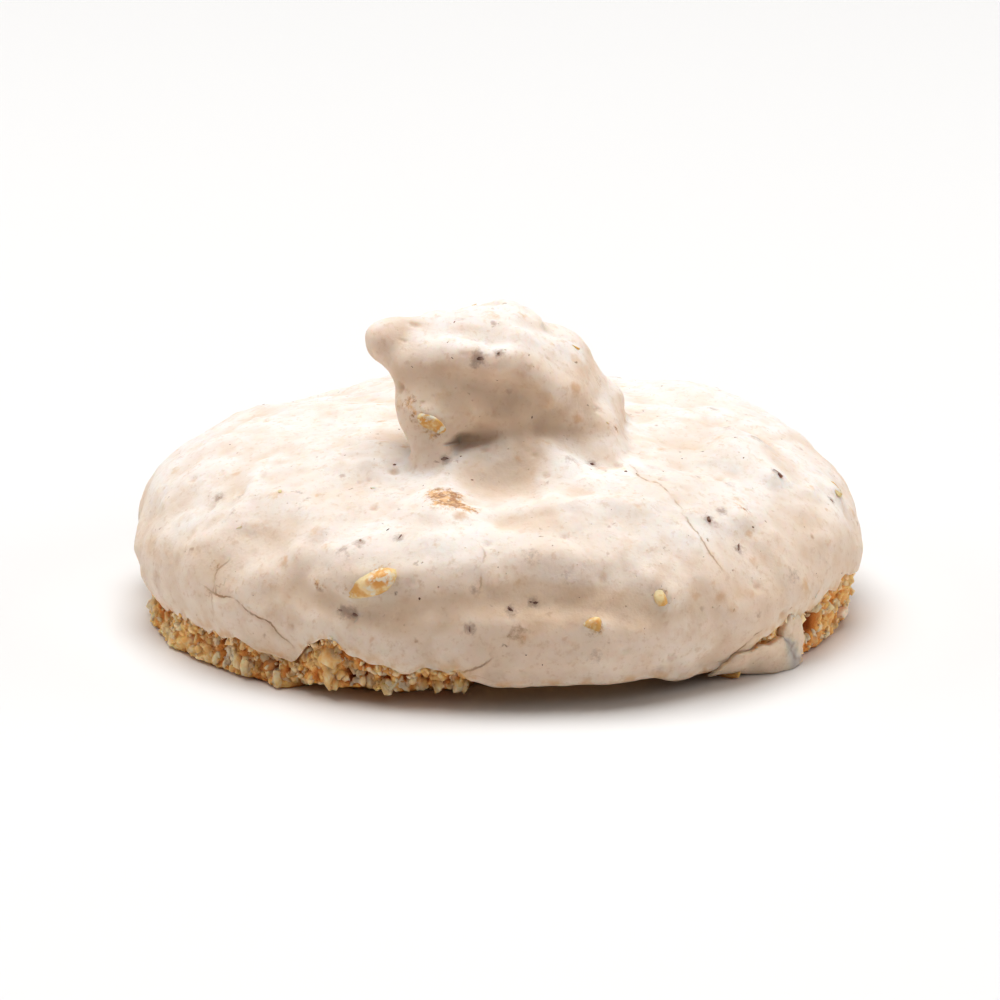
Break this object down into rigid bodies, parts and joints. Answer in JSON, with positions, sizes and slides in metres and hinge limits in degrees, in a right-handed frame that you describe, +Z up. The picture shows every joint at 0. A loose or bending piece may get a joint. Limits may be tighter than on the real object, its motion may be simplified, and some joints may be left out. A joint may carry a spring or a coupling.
{
  "type": "meringue cookie",
  "caption": "Round baked meringue cookie with a smooth pale crust, a folded overhanging peak and a torn, rough foot that stands flat.",
  "frame": {"origin": "middle of the flat base, on the surface that the cookie stands on", "axes": "+Z up through the cookie, +X to its right and +Y to its back, with the tip of the peak pointing to -X"},
  "size_m": [0.076, 0.0746, 0.0339],
  "materials": {
    "baked_meringue": "matt, dry, cream-white baked crust, golden brown where it tore"
  },
  "bodies": {
    "root": {"meringue_cookie": "baked_meringue"}
  },
  "joints": []
}
